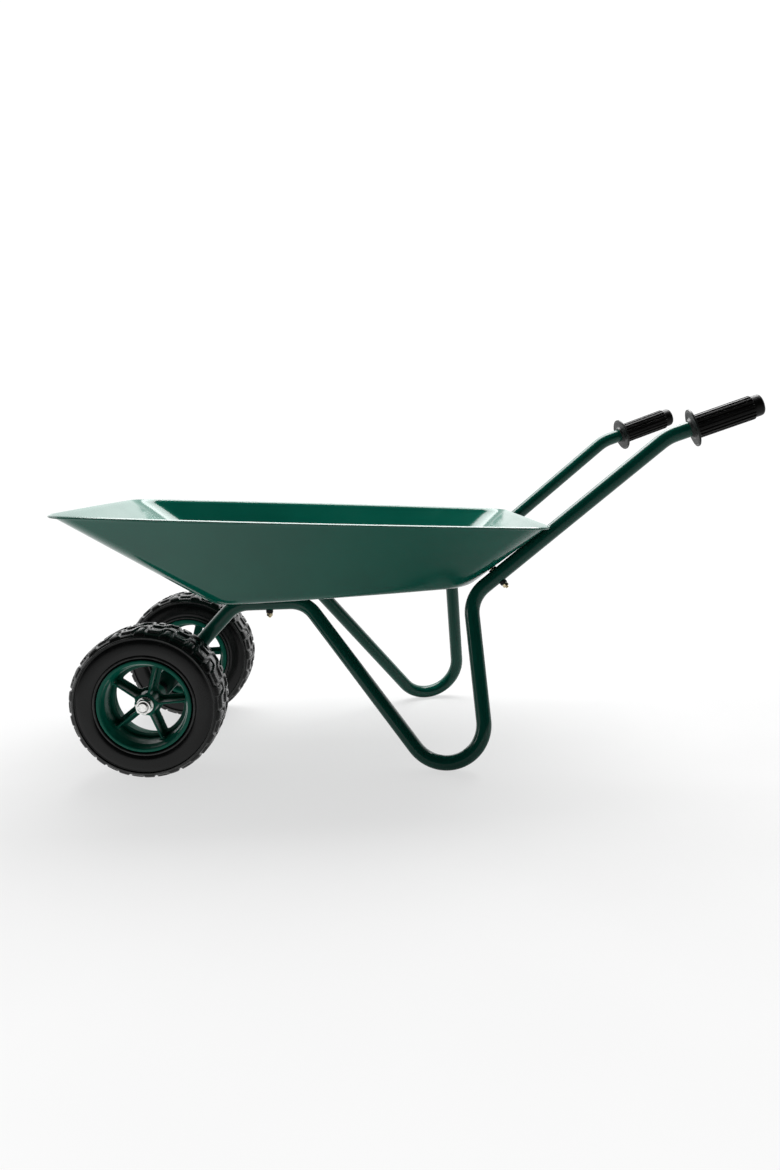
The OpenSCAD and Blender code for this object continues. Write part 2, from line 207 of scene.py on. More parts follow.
def along(part, a, d):
    """Lays a part drawn along +Z along direction d from point a."""
    z = unit(d)
    x = unit(np.cross([0, 1, 0] if abs(z[1]) < 0.9 else [0, 0, 1], z))
    return place(part, np.stack([x, np.cross(z, x), z], 1), a)


def on_axle(part, right):
    """Lays a part drawn along +Z along the axle, with Z = 0 at the barrow's middle plane."""
    v, f = part
    v = np.asarray(v)
    moved = np.stack([AXLE_X + v[:, 0], -v[:, 2], AXLE_Z + v[:, 1]], -1)
    return sided((moved, f), right)


def on_wheel(part, right):
    """As on_axle, with Z = 0 at the wheel's middle plane and +Z outward."""
    v, f = part
    v = np.asarray(v)
    moved = np.stack([AXLE_X + v[:, 0], -HALF_TRACK - v[:, 2], AXLE_Z + v[:, 1]], -1)
    return sided((moved, f), right)


def add_piece(name, parts, material, body, replaces, angle, relief=None):
    """One object from parts in millimetres. Edges above angle degrees are sharp; relief is one number
    a vertex, which the material can read."""
    verts, faces = [], []
    for v, f in parts:
        k = sum(len(p) for p in verts)
        verts.append(np.asarray(v, float) * MM)
        faces += [[i + k for i in q] for q in f]
    verts = np.concatenate(verts)
    mesh = bpy.data.meshes.new(name)
    mesh.from_pydata(verts.tolist(), [], faces)
    bm = bmesh.new()
    bm.from_mesh(mesh)
    if relief is not None:
        layer = bm.verts.layers.float.new("relief")
        for vert, value in zip(bm.verts, relief):
            vert[layer] = value
    bmesh.ops.remove_doubles(bm, verts=bm.verts, dist=2e-6)
    bmesh.ops.dissolve_degenerate(bm, edges=bm.edges, dist=1e-6)
    bmesh.ops.recalc_face_normals(bm, faces=bm.faces)
    bm.to_mesh(mesh)
    bm.free()
    mesh.shade_smooth()
    mesh.set_sharp_from_angle(angle=math.radians(angle))
    obj = bpy.data.objects.new(name, mesh)
    bpy.context.scene.collection.objects.link(obj)
    mesh.materials.append(material)
    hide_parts(*replaces)
    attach(obj, body)


# ---- materials -----------------------------------------------------------------------------------
class Nodes:
    """A short way to write the node tree of a material or of the world."""

    def __init__(self, owner, output):
        owner.use_nodes = True
        self.tree = owner.node_tree
        self.tree.nodes.clear()
        self.out = self.node(output)

    def node(self, kind, inputs=(), **settings):
        node = self.tree.nodes.new("ShaderNode" + kind)
        for key, value in settings.items():
            setattr(node, key, value)
        for key, value in dict(inputs).items():
            node.inputs[key].default_value = value
        return node

    def link(self, a, b):
        self.tree.links.new(a, b)

    def ramp(self, value, lo, hi, out_lo=0.0, out_hi=1.0):
        node = self.node("MapRange", {"From Min": lo, "From Max": hi, "To Min": out_lo, "To Max": out_hi},
                         interpolation_type="SMOOTHSTEP")
        self.link(value, node.inputs["Value"])
        return node.outputs["Result"]

    def math(self, kind, a, b):
        node = self.node("Math", operation=kind)
        for socket, value in zip(node.inputs, (a, b)):
            if isinstance(value, (int, float)):
                socket.default_value = value
            else:
                self.link(value, socket)
        return node.outputs["Value"]

    def axes(self, vector):
        node = self.node("SeparateXYZ")
        self.link(vector, node.inputs["Vector"])
        return node.outputs

    def blend(self, factor, a, b):
        """Sends out shader a where factor is 0, shader b where it is 1, and a mix between."""
        node = self.node("MixShader")
        for socket, value in zip(node.inputs, (factor, a, b)):
            self.link(value, socket)
        self.link(node.outputs["Shader"], self.out.inputs["Surface"])


class Material(Nodes):
    """A principled material. Its textures are fixed to the piece, in metres."""

    def __init__(self, name):
        self.material = bpy.data.materials.new(name)
        super().__init__(self.material, "OutputMaterial")
        self.shader = self.node("BsdfPrincipled")
        self.link(self.shader.outputs["BSDF"], self.out.inputs["Surface"])
        self.coord = self.node("TexCoord").outputs["Object"]

    def noise(self, scale, detail, rough, stretch=None):
        node = self.node("TexNoise", {"Scale": scale, "Detail": detail, "Roughness": rough})
        source = self.coord
        if stretch:
            mapping = self.node("Mapping", {"Scale": stretch})
            self.link(source, mapping.inputs["Vector"])
            source = mapping.outputs["Vector"]
        self.link(source, node.inputs["Vector"])
        return node.outputs["Fac"]

    def cells(self, scale):
        node = self.node("TexVoronoi", {"Scale": scale})
        self.link(self.coord, node.inputs["Vector"])
        return node.outputs["Distance"]

    def mix(self, factor, a, b):
        """Mixes two colours, each a tuple or a node's output."""
        node = self.node("Mix", data_type="RGBA")
        self.link(factor, node.inputs["Factor"])
        for socket, value in ((node.inputs[6], a), (node.inputs[7], b)):
            if isinstance(value, tuple):
                socket.default_value = (*value, 1.0)
            else:
                self.link(value, socket)
        return node.outputs[2]

    def bump(self, layers):
        """layers: (height, strength, distance in metres), laid on each other."""
        normal = None
        for height, strength, distance in layers:
            node = self.node("Bump", {"Strength": strength, "Distance": distance})
            self.link(height, node.inputs["Height"])
            if normal is not None:
                self.link(normal, node.inputs["Normal"])
            normal = node.outputs["Normal"]
        self.link(normal, self.shader.inputs["Normal"])

    def finish(self, colour, roughness, **values):
        """Links what varies, and sets what is the same all over on the shader's own sockets."""
        self.link(colour, self.shader.inputs["Base Color"])
        self.link(roughness, self.shader.inputs["Roughness"])
        for key, value in values.items():
            self.shader.inputs[key.replace("_", " ")].default_value = value
        return self.material


def gloss_paint(name, dark, light, rough, peel=0.3, wave=1.0, gloss=0.5):
    """Stoved enamel on steel: a faint orange peel, long soft waves in the sheet, and fine rub marks."""
    m = Material(name)
    colour = m.mix(m.ramp(m.noise(5.0, 4.0, 0.55), 0.35, 0.65), dark, light)
    scuff = m.ramp(m.noise(90.0, 5.0, 0.6, (1.0, 0.12, 0.3)), 0.66, 0.76, 0.0, 0.10)
    roughness = m.math("ADD", m.ramp(m.noise(16.0, 6.0, 0.6), 0.3, 0.7, rough, rough + 0.06), scuff)
    m.bump([(m.noise(4.5, 2.0, 0.4), wave, 0.0009), (m.noise(620.0, 2.0, 0.5), peel, 0.00005),
            (m.noise(60.0, 4.0, 0.5), peel * 0.6, 0.0001)])
    return m.finish(colour, roughness, IOR=1.5, Specular_IOR_Level=gloss)


def moulded(name, dark, light, rough, grain, scale, dusty, gloss):
    """Moulded plastic or rubber with a fine grain, flow marks and a little dust."""
    m = Material(name)
    colour = m.mix(m.ramp(m.noise(14.0, 5.0, 0.6), 0.35, 0.7), dark, light)
    dust = m.ramp(m.noise(70.0, 8.0, 0.75), 0.55, 0.85, 0.0, dusty)
    colour = m.mix(dust, colour, (0.16, 0.155, 0.14))
    roughness = m.ramp(m.noise(30.0, 6.0, 0.65), 0.3, 0.72, rough - 0.05, rough + 0.10)
    m.bump([(m.noise(26.0, 3.0, 0.5), grain, 0.0003), (m.noise(scale, 3.0, 0.6), grain, 0.00016),
            (m.cells(scale * 0.6), grain * 0.5, 0.0001)])
    return m.finish(colour, roughness, IOR=1.47, Specular_IOR_Level=gloss)


def tyre_rubber():
    """Rubber that is dusty on top of the tread, with a pale painted highlight where relief is half-way: along
    the edges of the lugs, and on the raised rings of the sidewall."""
    m = Material("tyre_rubber")
    colour = m.mix(m.ramp(m.noise(11.0, 5.0, 0.6), 0.35, 0.7),
                   (0.0026, 0.0031, 0.0031), (0.0052, 0.0058, 0.0057))
    relief = m.node("Attribute", attribute_name="relief").outputs["Fac"]
    speck = m.ramp(m.noise(160.0, 8.0, 0.8), 0.45, 0.78, 0.0, 1.0)
    dust = m.math("MULTIPLY", m.math("MULTIPLY", relief, speck), 0.16)
    colour = m.mix(dust, colour, (0.085, 0.08, 0.072))
    # painted highlight: where relief is half-way, on the lug edges and the sidewall rings, the rubber is
    # mixed to pale grey
    edge = m.math("MULTIPLY", relief, m.math("SUBTRACT", 1.0, relief))
    painted_edge_highlight = m.math("MULTIPLY", edge, m.ramp(m.noise(60.0, 5.0, 0.6), 0.3, 0.7, 0.4, 1.3))
    colour = m.mix(painted_edge_highlight, colour, (0.13, 0.132, 0.13))
    roughness = m.math("ADD", m.ramp(m.noise(42.0, 6.0, 0.65), 0.3, 0.72, 0.20, 0.28),
                       m.math("MULTIPLY", relief, 0.05))
    m.bump([(m.noise(34.0, 4.0, 0.6), 0.2, 0.0003), (m.noise(900.0, 4.0, 0.65), 0.25, 0.0001),
            (m.cells(1300.0), 0.15, 0.00008)])
    return m.finish(colour, roughness, IOR=1.5, Specular_IOR_Level=0.27)


def plated(name, dark, light, rough):
    """Zinc plate with fine spangle, turning marks and dull patches."""
    m = Material(name)
    colour = m.mix(m.ramp(m.cells(260.0), 0.1, 0.7), dark, light)
    dull = m.ramp(m.noise(120.0, 6.0, 0.7), 0.45, 0.8, 0.0, 0.2)
    colour = m.mix(dull, colour, (0.42, 0.41, 0.38))
    roughness = m.ramp(m.noise(200.0, 5.0, 0.6), 0.3, 0.7, rough, rough + 0.16)
    m.bump([(m.noise(900.0, 3.0, 0.5, (1.0, 6.0, 1.0)), 0.25, 0.00006),
            (m.noise(150.0, 3.0, 0.5), 0.2, 0.0001)])
    return m.finish(colour, roughness, Metallic=1.0)


TRAY_PAINT = gloss_paint("tray_enamel", (0.0003, 0.086, 0.058), (0.0006, 0.102, 0.069), rough=0.13)
TUBE_PAINT = gloss_paint("tube_enamel", (0.0003, 0.054, 0.037), (0.0006, 0.064, 0.044), rough=0.12,
                         peel=0.08, wave=0.3, gloss=0.3)
RIM_PLASTIC = moulded("rim_green_plastic", (0.0004, 0.094, 0.061), (0.0010, 0.118, 0.078), rough=0.30,
                      grain=0.08, scale=900.0, dusty=0.015, gloss=0.18)
TYRE = tyre_rubber()
GRIP = moulded("grip_rubber", (0.0024, 0.0026, 0.0025), (0.0045, 0.0048, 0.0046), rough=0.36,
               grain=0.4, scale=1400.0, dusty=0.015, gloss=0.20)
GUARD = moulded("guard_plastic", (0.009, 0.011, 0.0105), (0.014, 0.016, 0.0155), rough=0.26,
                grain=0.2, scale=1200.0, dusty=0.03, gloss=0.27)
BLACK = moulded("black_plastic", (0.005, 0.005, 0.005), (0.009, 0.009, 0.009), rough=0.42,
                grain=0.25, scale=1000.0, dusty=0.04, gloss=0.25)
ZINC = plated("zinc_plate", (0.72, 0.72, 0.70), (0.86, 0.86, 0.84), rough=0.09)
YELLOW_ZINC = plated("yellow_zinc_plate", (0.60, 0.50, 0.30), (0.78, 0.68, 0.46), rough=0.2)


# ---- tray ------------------------------------------------------------------------------------------
CORNER_STEPS, SIDE_STEPS, END_STEPS = 26, 56, 34    # points round a corner, along a side and an end
# each outline: X of its front and rear end, half its width there, and its height there
RIM_X, RIM_Y, RIM_Z = (-561.0, 219.5), (264.0, 247.0), (443.0, 399.7)
BASE_X, BASE_Y, BASE_Z = (-336.0, 104.0), (192.0, 174.0), (284.6, 299.5)
ROLL_R = 2.5                                        # the roll along the rim
FACET_AT, FACET_HALF = math.radians(62), math.radians(42)   # where the roll is flattened, and how far


def unit_ring(rs, rt):
    """Outline of the square from -1 to 1 with corners rounded by rs and rt."""
    p = []
    q = [math.pi / 2 * k / CORNER_STEPS for k in range(CORNER_STEPS)]
    p += [(1 - rs + rs * math.sin(a), -1 + rt - rt * math.cos(a)) for a in q]
    p += [(1, lerp(-1 + rt, 1 - rt, k / END_STEPS)) for k in range(END_STEPS)]
    p += [(1 - rs + rs * math.cos(a), 1 - rt + rt * math.sin(a)) for a in q]
    p += [(lerp(1 - rs, -1 + rs, k / SIDE_STEPS), 1) for k in range(SIDE_STEPS)]
    p += [(-1 + rs - rs * math.sin(a), 1 - rt + rt * math.cos(a)) for a in q]
    p += [(-1, lerp(1 - rt, -1 + rt, k / END_STEPS)) for k in range(END_STEPS)]
    p += [(-1 + rs - rs * math.cos(a), -1 + rt - rt * math.sin(a)) for a in q]
    p += [(lerp(-1 + rs, 1 - rs, k / SIDE_STEPS), -1) for k in range(SIDE_STEPS)]
    return np.array(p)


def ring(xs, ys, radius, bow, end_bow=0, inset=0):
    """An outline with half widths ys at its ends xs. Its sides bow out, and so does its front end."""
    x0, x1 = xs[0] + inset, xs[1] - inset
    p = unit_ring(2 * radius / (x1 - x0), 2 * radius / (ys[0] + ys[1] - 2 * inset))
    s, t = p[:, 0], p[:, 1]
    x = lerp(x0, x1, (s + 1) / 2) - np.where(s < 0, end_bow, 0) * (1 - t * t) * s ** 8
    return np.stack([x, t * (lerp(ys[0], ys[1], (s + 1) / 2) - inset + bow * (1 - s * s))], -1)


def lifted(q, xs, zs):
    """Lays an outline on the slope that passes the heights zs at xs."""
    return np.column_stack([q, lerp(zs[0], zs[1], (q[:, 0] - xs[0]) / (xs[1] - xs[0]))])


def build_tray():
    """The sheet as one skin: its underside from the middle outwards, the roll, and its upper side back."""
    inner = lifted(ring(BASE_X, BASE_Y, 40, bow=12, inset=10), BASE_X, BASE_Z)
    base = lifted(ring(BASE_X, BASE_Y, 47, bow=13), BASE_X, BASE_Z)
    rim = lifted(ring(RIM_X, RIM_Y, 40, bow=27, end_bow=3), RIM_X, RIM_Z)
    tangent = np.roll(rim, -1, 0) - np.roll(rim, 1, 0)
    tangent[:, 2] = 0
    tangent /= np.linalg.norm(tangent, axis=1)[:, None]
    out = np.stack([tangent[:, 1], -tangent[:, 0], np.zeros(len(rim))], -1)
    up = np.array([0, 0, 1.0])
    # the floor's rings shrink to a point in its middle, and the knee rounds the floor into the walls
    middle = np.array([(BASE_X[0] + BASE_X[1]) / 2, 0, (BASE_Z[0] + BASE_Z[1]) / 2])
    floor = [lerp(inner, middle, t) for t in (1.0, 0.85, 0.68, 0.5, 0.34, 0.2, 0.08)]
    low = lerp(base, rim, 0.08)
    knee = [inner * (1 - t) ** 2 + base * 2 * t * (1 - t) + low * t * t for t in np.linspace(0, 1, 9)]
    wall = [lerp(base, rim, w) for w in (0.14, 0.22, 0.32, 0.42, 0.52, 0.62, 0.72, 0.82, 0.9, 0.955)]
    under = floor + knee + wall
    top = [p + up * SHEET for p in under]
    bead = []
    for a in np.radians(np.linspace(-172, 118, 44)):
        # the roll is flattened a little on top, where its edge catches the light
        flat = math.cos(FACET_HALF) / max(math.cos(a - FACET_AT), 0.6)
        r = ROLL_R * lerp(min(flat, 1.0), 1.0, 0.10)
        bead.append(rim + out * (ROLL_R + r * math.cos(a) + 1.5) + up * (r * math.sin(a) + 1))
    tuck = [lerp(base, rim, 0.992)]
    crest = [lerp(base, rim, 0.985) + up * (SHEET + 1.1) + out * 0.9,
             lerp(base, rim, 0.97) + up * (SHEET + 0.3)]
    pts = np.stack(under + tuck + bead + crest + top[::-1], 1)
    pts[..., 1] = np.clip(pts[..., 1], -HALF_WIDTH, HALF_WIDTH)
    return grid(pts, True, False)


add_piece("tray_sheet", [build_tray()], TRAY_PAINT, "root", ["tray"], 40)


# ---- frame tubes -----------------------------------------------------------------------------------
def build_tube():
    """The round tube, pressed to a flat eye where the axle goes through it."""
    eye_r, eye_half = 18.0, 4.0         # the eye's outline, and half its thickness
    n = 56
    line = centre_line()
    d = unit(PATH[1] - PATH[0])
    near = np.concatenate([eye_r * -np.cos(np.linspace(0, math.pi / 2, 9)), np.linspace(2, 34, 9),
                           np.linspace(37, 76, 18)])
    far = line[np.linalg.norm(line - PATH[0], axis=1) > 78]
    pts = np.array([PATH[0] + d * t for t in near] + list(far))
    a = np.arange(n) * TAU / n
    rows = []
    side = None
    for i, p in enumerate(pts):
        u = unit(pts[min(i + 1, len(pts) - 1)] - pts[max(i - 1, 0)])
        if side is None:
            side = unit(np.cross([0, 1.0, 0], u))
        side = unit(side - u * (side @ u))
        flat = np.cross(u, side)
        thick = wide = TUBE_R
        if i < len(near):
            t = near[i]
            thick = lerp(eye_half, TUBE_R, smooth((t - 32) / 40))
            wide = lerp(eye_r, TUBE_R, smooth((t - 30) / 42))
            if t < 0:
                wide = math.sqrt(max(eye_r ** 2 - t * t, 0.3))
                thick = eye_half * (1 - (max(-t - 16.5, 0) / 1.5) ** 2 * 0.5)
            thick = min(thick, wide)
        off = (wide - thick) * np.clip(np.cos(a) * 1.7, -1, 1)
        rows.append(p + np.outer(np.cos(a) * thick + off, side) + np.outer(np.sin(a) * thick, flat))
    v, f = grid(np.stack(rows, 1), True, False)
    m = len(rows)
    f.append([i * m for i in range(n)])
    f.append([i * m + m - 1 for i in range(n - 1, -1, -1)])
    return v, f


SIDES = (("left", False), ("right", True))
for side_name, right in SIDES:
    add_piece("bent_tube_" + side_name, [sided(build_tube(), right)],
              TUBE_PAINT, "root", ["frame_tube_" + side_name], 50)


# ---- wheels ----------------------------------------------------------------------------------------
def resampled(p, s, q):
    return np.stack([np.interp(q, s, p[:, k]) for k in (0, 1)], -1)


def softened(p):
    return np.concatenate([p[:1], (p[:-2] + 2 * p[1:-1] + p[2:]) / 4, p[-1:]])


def tyre_parts():
    """The tyre with its tread, and how far each point stands out on a lug, from 0 to 1."""
    base_r = 124.0                                  # radius that the tread's pattern is measured at
    rib_mid, rib_half, swing, square = 18.5, 3.4, 13.5, 1.9
    tab_from, tab_round = 17.5, 3                   # inner end of a tab, and the radius of its corners
    flank = 1.5                                     # width of a lug's sloping side
    # (radius, distance from the middle plane): the ground between the lugs, the top of a lug, and the
    # sidewall from the shoulder's step in to the rim
    base = np.array([(124.0, 0), (123.9, 14), (123.5, 24), (122.7, 32), (121.6, 37), (120.6, 40.2),
                     (119.8, 42.0), (118.8, 43.3), (117.6, 44.1)])
    lug = np.array([(126.8, 0), (126.8, 14), (126.5, 24), (125.8, 32), (124.6, 37.4), (122.9, 40.8),
                    (121.0, 42.8), (119.2, 43.5), (117.6, 44.1)])
    wall = np.array([(116.8, 44.45), (116.5, 44.75), (116.3, 46.1), (115.9, 46.6), (115.2, 46.85),
                     (114.2, 46.9), (113.6, 46.75), (113.3, 46.3), (113.1, 45.1), (112.7, 44.6),
                     (111.8, 44.5), (110.6, 44.9), (108.6, 45.7), (105, 46.4), (101, 46.7), (96, 46.75),
                     (91, 46.4), (87.5, 45.6), (85.8, 44.8), (84.9, 44.0), (84.2, 44.6), (83.2, 45.7),
                     (81.8, 45.9), (80.4, 45.2), (79.4, 43.8), (78.6, 42.0), (77.2, 41.0), (73.2, 39.4),
                     (69.2, 37.0)])
    # half-way marks along the two raised rings of the sidewall, where the material paints a highlight
    painted_ring_highlight = np.where((abs(wall[:, 0] - 114.6) < 0.9) | (abs(wall[:, 0] - 82.4) < 1.0), 0.5, 0.0)
    s = np.concatenate([[0], np.cumsum(np.linalg.norm(np.diff(base, axis=0), axis=1))])
    q = np.linspace(0, s[-1], 48)
    base = softened(softened(resampled(base, s, q)))
    lug = softened(softened(softened(resampled(lug, s, q))))
    pitch = TAU / TREAD_BLOCKS
    n = TREAD_BLOCKS * 32
    theta = np.arange(n) * TAU / n
    length = base_r * pitch
    k = TAU / length
    halves = []
    for s_side in (1, -1):
        # a: along the tread from the middle of a repeat, c: across it from its middle, both in mm
        u = (theta / pitch + (0.0 if s_side > 0 else 0.5)) % 1.0 - 0.5
        a = (u * length)[:, None]
        c = q[None, :]
        # a rib that winds between the middle and the shoulder
        wave = np.tanh(square * np.cos(k * a)) / math.tanh(square)
        slope = swing * square * k * np.sin(k * a) / np.cosh(square * np.cos(k * a)) ** 2 / math.tanh(square)
        rib = rib_half - np.abs(c - (rib_mid - swing * wave)) / np.sqrt(1 + slope ** 2)
        # a tab that widens over the shoulder
        width = 4.4 + 4.8 * smooth((c - 35) / 5)
        tab = np.minimum(width - np.abs(a), c - tab_from)
        corner = np.hypot(np.clip(tab_round - (width - np.abs(a)), 0, None),
                          np.clip(tab_round - (c - tab_from), 0, None))
        tab = np.minimum(tab, tab_round - corner)
        mask = np.maximum(smooth(rib / flank + 0.5) * (c < 38), smooth(tab / flank + 0.5))
        prof = base[None] * (1 - mask[..., None]) + lug[None] * mask[..., None]
        prof = np.concatenate([prof, np.tile(wall[None], (n, 1, 1))], 1)
        prof[..., 1] *= s_side
        halves.append((prof, np.concatenate([mask, np.tile(painted_ring_highlight, (n, 1))], 1)))
    (p1, m1), (p2, m2) = halves
    # the two halves meet along the middle of the tread
    prof = np.concatenate([p2[:, :0:-1], p1], 1)
    mask = np.concatenate([m2[:, :0:-1], m1], 1)
    prof[:, p2.shape[1] - 1] = (p1[:, 0] + p2[:, 0]) / 2
    pts = np.stack([np.cos(theta)[:, None] * prof[..., 0], np.sin(theta)[:, None] * prof[..., 0],
                    prof[..., 1]], -1)
    return grid(pts, True, True), mask.ravel()


def spun(part, angle):
    """Turns a part round the Z axis."""
    c, sn = math.cos(angle), math.sin(angle)
    return place(part, np.array([[c, -sn, 0], [sn, c, 0], [0, 0, 1.0]]), (0, 0, 0))


def window(half):
    """Outline of one opening of the plate, between two spokes, with its corners rounded."""
    off, r_out, r_in = 7.2, 58.0, 23.0              # clear of the spoke's middle, outer and inner radius
    line = []
    outer_angle = half - math.asin(off / r_out)
    for t in np.linspace(-1, 1, 60):
        line.append((r_out * math.cos(outer_angle * t), r_out * math.sin(outer_angle * t)))
    inner_angle = half - math.asin(off / r_in)
    for t in np.linspace(1, -1, 24):
        line.append((r_in * math.cos(inner_angle * t), r_in * math.sin(inner_angle * t)))
    line = np.array(line + line[:1])
    s = np.concatenate([[0], np.cumsum(np.linalg.norm(np.diff(line, axis=0), axis=1))])
    k = 240
    dense = np.stack([np.interp(np.linspace(0, s[-1], k, endpoint=False), s, line[:, j]) for j in (0, 1)], -1)
    reach = max(1, int(3.6 / (s[-1] / k)))
    for _ in range(2):
        dense = sum(np.roll(dense, j, 0) for j in range(-reach, reach + 1)) / (2 * reach + 1)
    return dense[::4]


def plate_sector():
    """A fifth of the pierced plate between the hub and the barrel, as one skin round its opening."""
    half = math.pi / SPOKES
    opening = window(half)
    heart = np.array([42.0, 0.0])
    ray = opening - heart
    ray /= np.linalg.norm(ray, axis=1)[:, None]
    edge = []
    for d in ray:
        # the nearest of the sector's two sides, the barrel and the hub
        best = 1e9
        for sign in (1, -1):
            normal = np.array([-math.sin(half * sign), math.cos(half * sign)]) * sign
            if d @ normal > 1e-9:
                best = min(best, -(heart @ normal) / (d @ normal))
        b = heart @ d
        for r, keep in ((65.6, 1), (17.5, -1)):
            disc = b * b - heart @ heart + r * r
            if disc > 0 and -b + keep * math.sqrt(disc) > 0:
                best = min(best, -b + keep * math.sqrt(disc))
        edge.append(heart + d * best)
    edge = np.array(edge)
    # (distance out from the opening or None for the sector's edge, height) of each row
    rows = []
    for grow, z in ((None, 6.6), (6.0, 6.9), (1.6, 7.0), (0.7, 6.8), (0.15, 6.2), (0.0, 5.4), (0.0, 4.2),
                    (0.15, 3.6), (0.7, 3.1), (1.6, 3.0), (None, 3.0)):
        if grow is None:
            flat = edge
        else:
            flat = opening + ray * grow
            past = np.linalg.norm(flat - heart, axis=1) > np.linalg.norm(edge - heart, axis=1)
            flat = np.where(past[:, None], lerp(opening, edge, 0.9), flat)
        rows.append(np.column_stack([flat, np.full(len(flat), z)]))
    return grid(np.stack(rows, 1), True, False)


def rim_parts():
    """Barrel with its two lips, hub, pierced plate and ribbed spokes."""
    front = fillet([(64.6, 8), (65.6, 26), (67.2, 35), (70.2, 41), (71.6, 45.4), (73.0, 47), (76.2, 47),
                    (77.6, 45.6), (77.4, 44.0), (74.0, 42.2), (73.4, 40.0), (68.6, 37.0)],
                   [0, 9, 6, 5, 1.2, 1.6, 1.4, 1.2, 0.6, 2, 2, 0], 5, False)
    back = fillet([(68.6, -37.0), (76.9, -40.2), (78.4, -42.0), (77.2, -44.0), (73.0, -44.0),
                   (70.0, -41.5), (66.6, -34), (65.2, -22), (64.6, -6)],
                  [0, 1.5, 1.4, 1.4, 1.6, 4, 6, 6, 0], 5, False)
    hub = fillet([(11.5, -HUB_IN), (17.2, -HUB_IN), (19.0, -6), (19.6, 5), (19.0, 12), (18.0, HUB_OUT),
                  (15.6, HUB_OUT), (15.4, 33.4), (11.5, 33.4)], [0, 1.2, 8, 5, 6, 1.1, 0.7, 0.3, 0], 5)
    parts = [lathe(np.concatenate([front, back, [[64.2, 0.0]]]), 144), lathe(hub, 96)]
    half = math.pi / SPOKES
    sector, rib = plate_sector(), spoke()
    for i in range(SPOKES):
        turn = math.radians(SPOKE_PHASE) + half + 2 * half * i
        parts += [spun(sector, turn), spun(rib, turn - half)]
    return parts


def cove(d, r):
    """How far a fillet of radius r still reaches at distance d from its corner."""
    return np.where(d < r, r - np.sqrt(np.clip(r * r - (r - np.clip(d, 0, r)) ** 2, 0, None)), 0.0)


def nose(d, q):
    """The rounding of an edge: 0 at the edge, 1 from distance q on."""
    return np.sqrt(np.clip(1 - np.clip(1 - d / q, 0, 1) ** 2, 0, 1))


def spoke():
    """A thin rib that flares into the hub, the barrel and the plate."""
    rs = np.concatenate([np.linspace(13, 24, 9), np.linspace(27, 58, 12), np.linspace(59.5, 66, 8)])
    front = np.interp(rs, [13, 18, 24, 66], [33.2, 33.0, 32.0, 28.0])
    rear = np.interp(rs, [13, 18, 40, 60, 66], [-20.0, -16.0, -6.0, -1.0, 0.5])
    t = np.concatenate([np.linspace(0, 0.07, 7), np.linspace(0.12, 0.9, 24), np.linspace(0.93, 1.0, 9)])
    z = rear[:, None] + (front - rear)[:, None] * t[None]
    r = np.repeat(rs[:, None], len(t), 1)
    core = 1.75 + 0.010 * np.abs(z - 30)
    flare = cove(r - 18.2, 4.0) + cove(65.0 - r, 4.5) + cove(np.abs(z - 5.0) - 2.0, 3.0)
    flare = np.where(np.abs(z - 5) < 2, 3.0 + flare, flare)
    thick = core + np.minimum(flare, 6.0)
    thick *= nose(front[:, None] - z, 1.5) * nose(z - rear[:, None], 1.5)
    loop = np.concatenate([np.stack([r, thick, z], -1), np.stack([r, -thick, z], -1)[:, ::-1]], 1)
    v, f = grid(loop, False, True)
    m = loop.shape[1]
    f.append(list(range(m)))
    f.append([(len(rs) - 1) * m + i for i in range(m - 1, -1, -1)])
    return v, f


tyre_part, tyre_relief = tyre_parts()
rim_part = rim_parts()
for side_name, right in SIDES:
    body = side_name + "_wheel"
    add_piece("tyre_treaded_" + side_name, [on_wheel(tyre_part, right)],
              TYRE, body, ["tyre_" + side_name], 50, tyre_relief)
    add_piece("rim_spoked_" + side_name, [on_wheel(p, right) for p in rim_part],
              RIM_PLASTIC, body, ["wheel_rim_" + side_name], 40)

# ---- axle, washers and nuts ------------------------------------------------------------------------
BOTH = (False, True)
AXLE_END = NUT_Y + 16


def washer(r_out, z0, z1):
    r_in = AXLE_R + 0.1
    return lathe(fillet([(r_in, z0), (r_out, z0), (r_out, z1), (r_in, z1)], 0.5, 4), 96)


plain = lathe([(0, 0), (AXLE_R, 0), (AXLE_R, NUT_Y - 6), (0, NUT_Y - 6)], 64, False)
screw = thread(AXLE_R, NUT_Y - 7, AXLE_END, 2.0, 1.1, 64)
add_piece("axle_rod", [on_axle(p, right) for right in BOTH for p in (plain, screw)],
          ZINC, "root", ["axle"], 30)
hub_inner, hub_outer = HALF_TRACK - HUB_IN, HALF_TRACK + HUB_OUT
washers = [washer(15, hub_inner - 2.7, hub_inner - 0.4), washer(14, hub_outer + 0.4, NUT_Y - 0.1)]
add_piece("washer_set", [on_axle(p, right) for right in BOTH for p in washers],
          ZINC, "root", ["axle_washers"], 30)
nut = hexagon(23.55, NUT_H, AXLE_R + 0.05, NUT_Y, phase=0.2)
add_piece("axle_hex_nuts", [on_axle(nut, right) for right in BOTH],
          ZINC, "root", ["axle_nuts"], 24)


